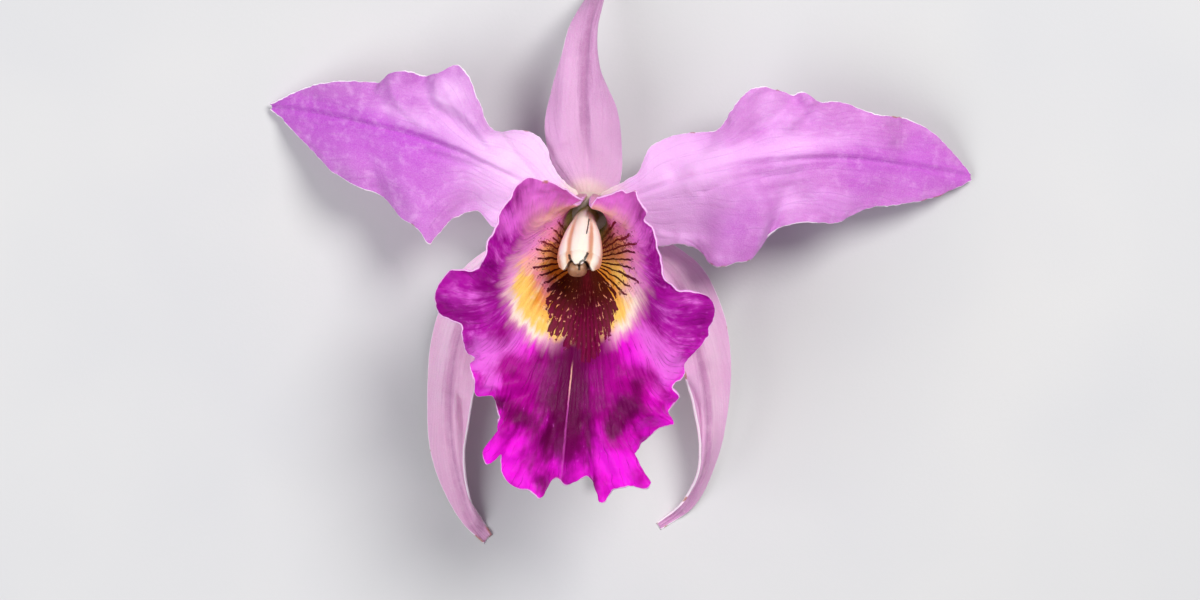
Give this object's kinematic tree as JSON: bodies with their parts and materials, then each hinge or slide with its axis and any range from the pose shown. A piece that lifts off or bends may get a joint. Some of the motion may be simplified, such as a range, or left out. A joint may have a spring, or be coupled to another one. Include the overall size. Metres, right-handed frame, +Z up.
{
  "type": "cattleya orchid flower",
  "caption": "Open cattleya flower as picked, lying on its back: pale sepals, broad waved petals and a frilled magenta lip with a striped yellow throat round an ivory column.",
  "frame": {"origin": "on the surface that the flower lies on, under the middle of its box", "axes": "+Z up, the way the flower faces; +Y towards the dorsal sepal; +X to the flower's right as it is seen"},
  "size_m": [0.1531, 0.1259, 0.0478],
  "materials": {
    "dorsal_sepal": "satin",
    "lateral_sepal_left": "satin",
    "lateral_sepal_right": "satin",
    "petal_left": "satin",
    "petal_right": "satin",
    "lip": "satin",
    "column": "satin",
    "anther_cap": "satin",
    "pollinia": "waxy",
    "ovary_pedicel": "satin"
  },
  "bodies": {
    "root": {"dorsal_sepal": "dorsal_sepal", "lateral_sepal_left": "lateral_sepal_left", "lateral_sepal_right": "lateral_sepal_right", "petal_left": "petal_left", "petal_right": "petal_right", "lip": "lip", "column": "column", "anther_cap": "anther_cap", "pollinia": "pollinia", "ovary_pedicel": "ovary_pedicel"}
  },
  "joints": []
}
